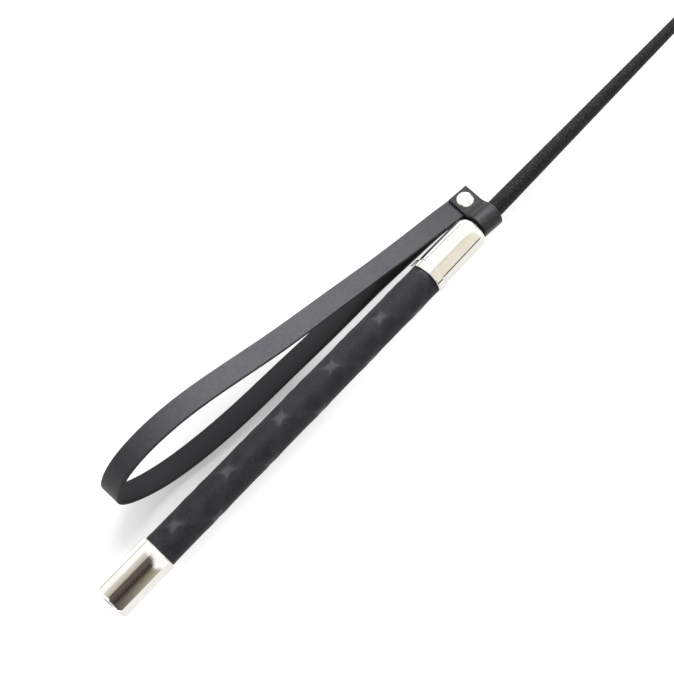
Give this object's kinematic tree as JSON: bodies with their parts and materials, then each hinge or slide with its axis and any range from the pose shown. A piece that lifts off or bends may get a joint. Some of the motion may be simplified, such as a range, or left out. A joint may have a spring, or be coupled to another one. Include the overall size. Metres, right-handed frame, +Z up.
{
  "type": "riding crop",
  "caption": "Riding crop with a wrapped handle, chrome butt cap and ferrule, turning leather wrist strap, braided tapered shaft and leather popper.",
  "frame": {"origin": "middle of the flat outer face of the butt cap", "axes": "+X along the crop from butt to tip, +Z up as it lies on a table, +Y to the side where the wrist strap lies"},
  "size_m": [0.61, 0.0542, 0.0484],
  "materials": {
    "chrome": "polished nickel-chrome plating",
    "grip_rubber": "matte black shrink sleeve with a crossed relief",
    "grip_cord": "hard laid cord",
    "handle_core": "plain moulded tube",
    "fibreglass": "drawn glass-fibre rod",
    "braid": "fine plaited nylon",
    "band_leather": "black harness leather, semi-matte",
    "strap_leather": "black strap leather, smooth face and dark cut edges",
    "popper_leather": "black leather, stitched",
    "thread": "waxed black thread"
  },
  "bodies": {
    "handle": {"butt_cap": "chrome", "handle_core": "handle_core", "grip_cords_right": "grip_cord", "grip_cords_left": "grip_cord", "grip_sleeve": "grip_rubber", "ferrule": "chrome", "shaft_core": "fibreglass", "shaft_braid": "braid", "popper_neck": "popper_leather", "tip_whipping": "thread"},
    "keeper": {"keeper_band": "band_leather", "rivet_cap": "chrome", "rivet_post": "chrome"},
    "strap": {"wrist_strap": "strap_leather"},
    "popper": {"popper_upper_leaf": "popper_leather", "popper_lower_leaf": "popper_leather"}
  },
  "joints": [
    {"name": "strap_turn", "type": "hinge", "parent": "handle", "child": "keeper", "pos_m": [0.2694, 0, 0], "axis": [1, 0, 0], "continuous": true},
    {"name": "strap_swing", "type": "hinge", "parent": "keeper", "child": "strap", "pos_m": [0.2705, 0.01402, -0.00098], "axis": [-0.0055, -0.0695, -0.9976], "range_deg": [0, 160]},
    {"name": "popper_flex", "type": "hinge", "parent": "handle", "child": "popper", "pos_m": [0.548, 0, 0], "axis": [0, 1, 0], "range_deg": [-45, 45], "stiffness_Nm_per_rad": 0.05}
  ]
}
